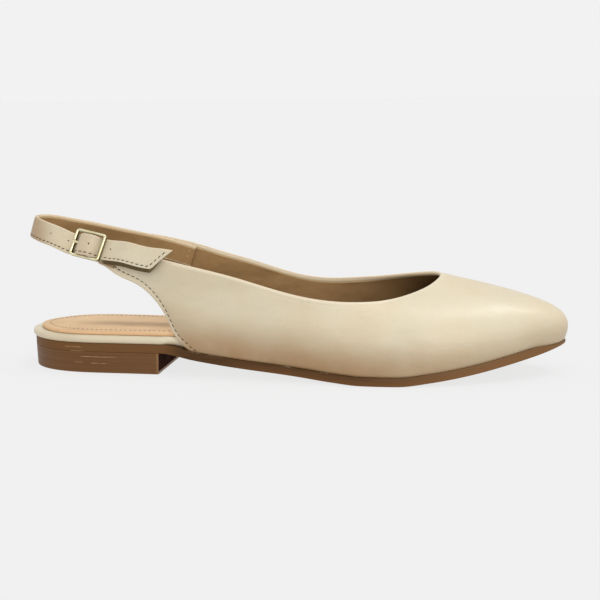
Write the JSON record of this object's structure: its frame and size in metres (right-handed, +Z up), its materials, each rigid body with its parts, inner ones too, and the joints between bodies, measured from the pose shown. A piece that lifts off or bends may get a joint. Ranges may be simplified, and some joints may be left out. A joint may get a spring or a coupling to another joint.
{
  "type": "sling back flat shoe",
  "caption": "Right sling back flat with an almond toe, open heel, buckled sling strap and a low stacked heel, standing empty on its sole.",
  "frame": {"origin": "centre of the shoe's box in plan, on the floor that the heel and the ball stand on", "axes": "+X to the toe, +Y to the inner side of the foot, +Z up"},
  "size_m": [0.2614, 0.0766, 0.0726],
  "materials": {
    "sole_brown": "satin sanded sole leather",
    "stack_brown": "stacked and stained, fine horizontal lines",
    "cream_leather": "smooth with a soft gloss",
    "tan_lining": "matte smooth lining",
    "pale_gold": "polished pale gold plate"
  },
  "bodies": {
    "root": {"outsole": "sole_brown", "heel_block": "stack_brown", "top_lift": "stack_brown", "insole_rim": "cream_leather", "insole": "tan_lining", "upper": "cream_leather", "sling_strap": "cream_leather", "buckle_frame": "pale_gold", "buckle_prong": "pale_gold", "buckle_tab": "cream_leather"}
  },
  "joints": []
}
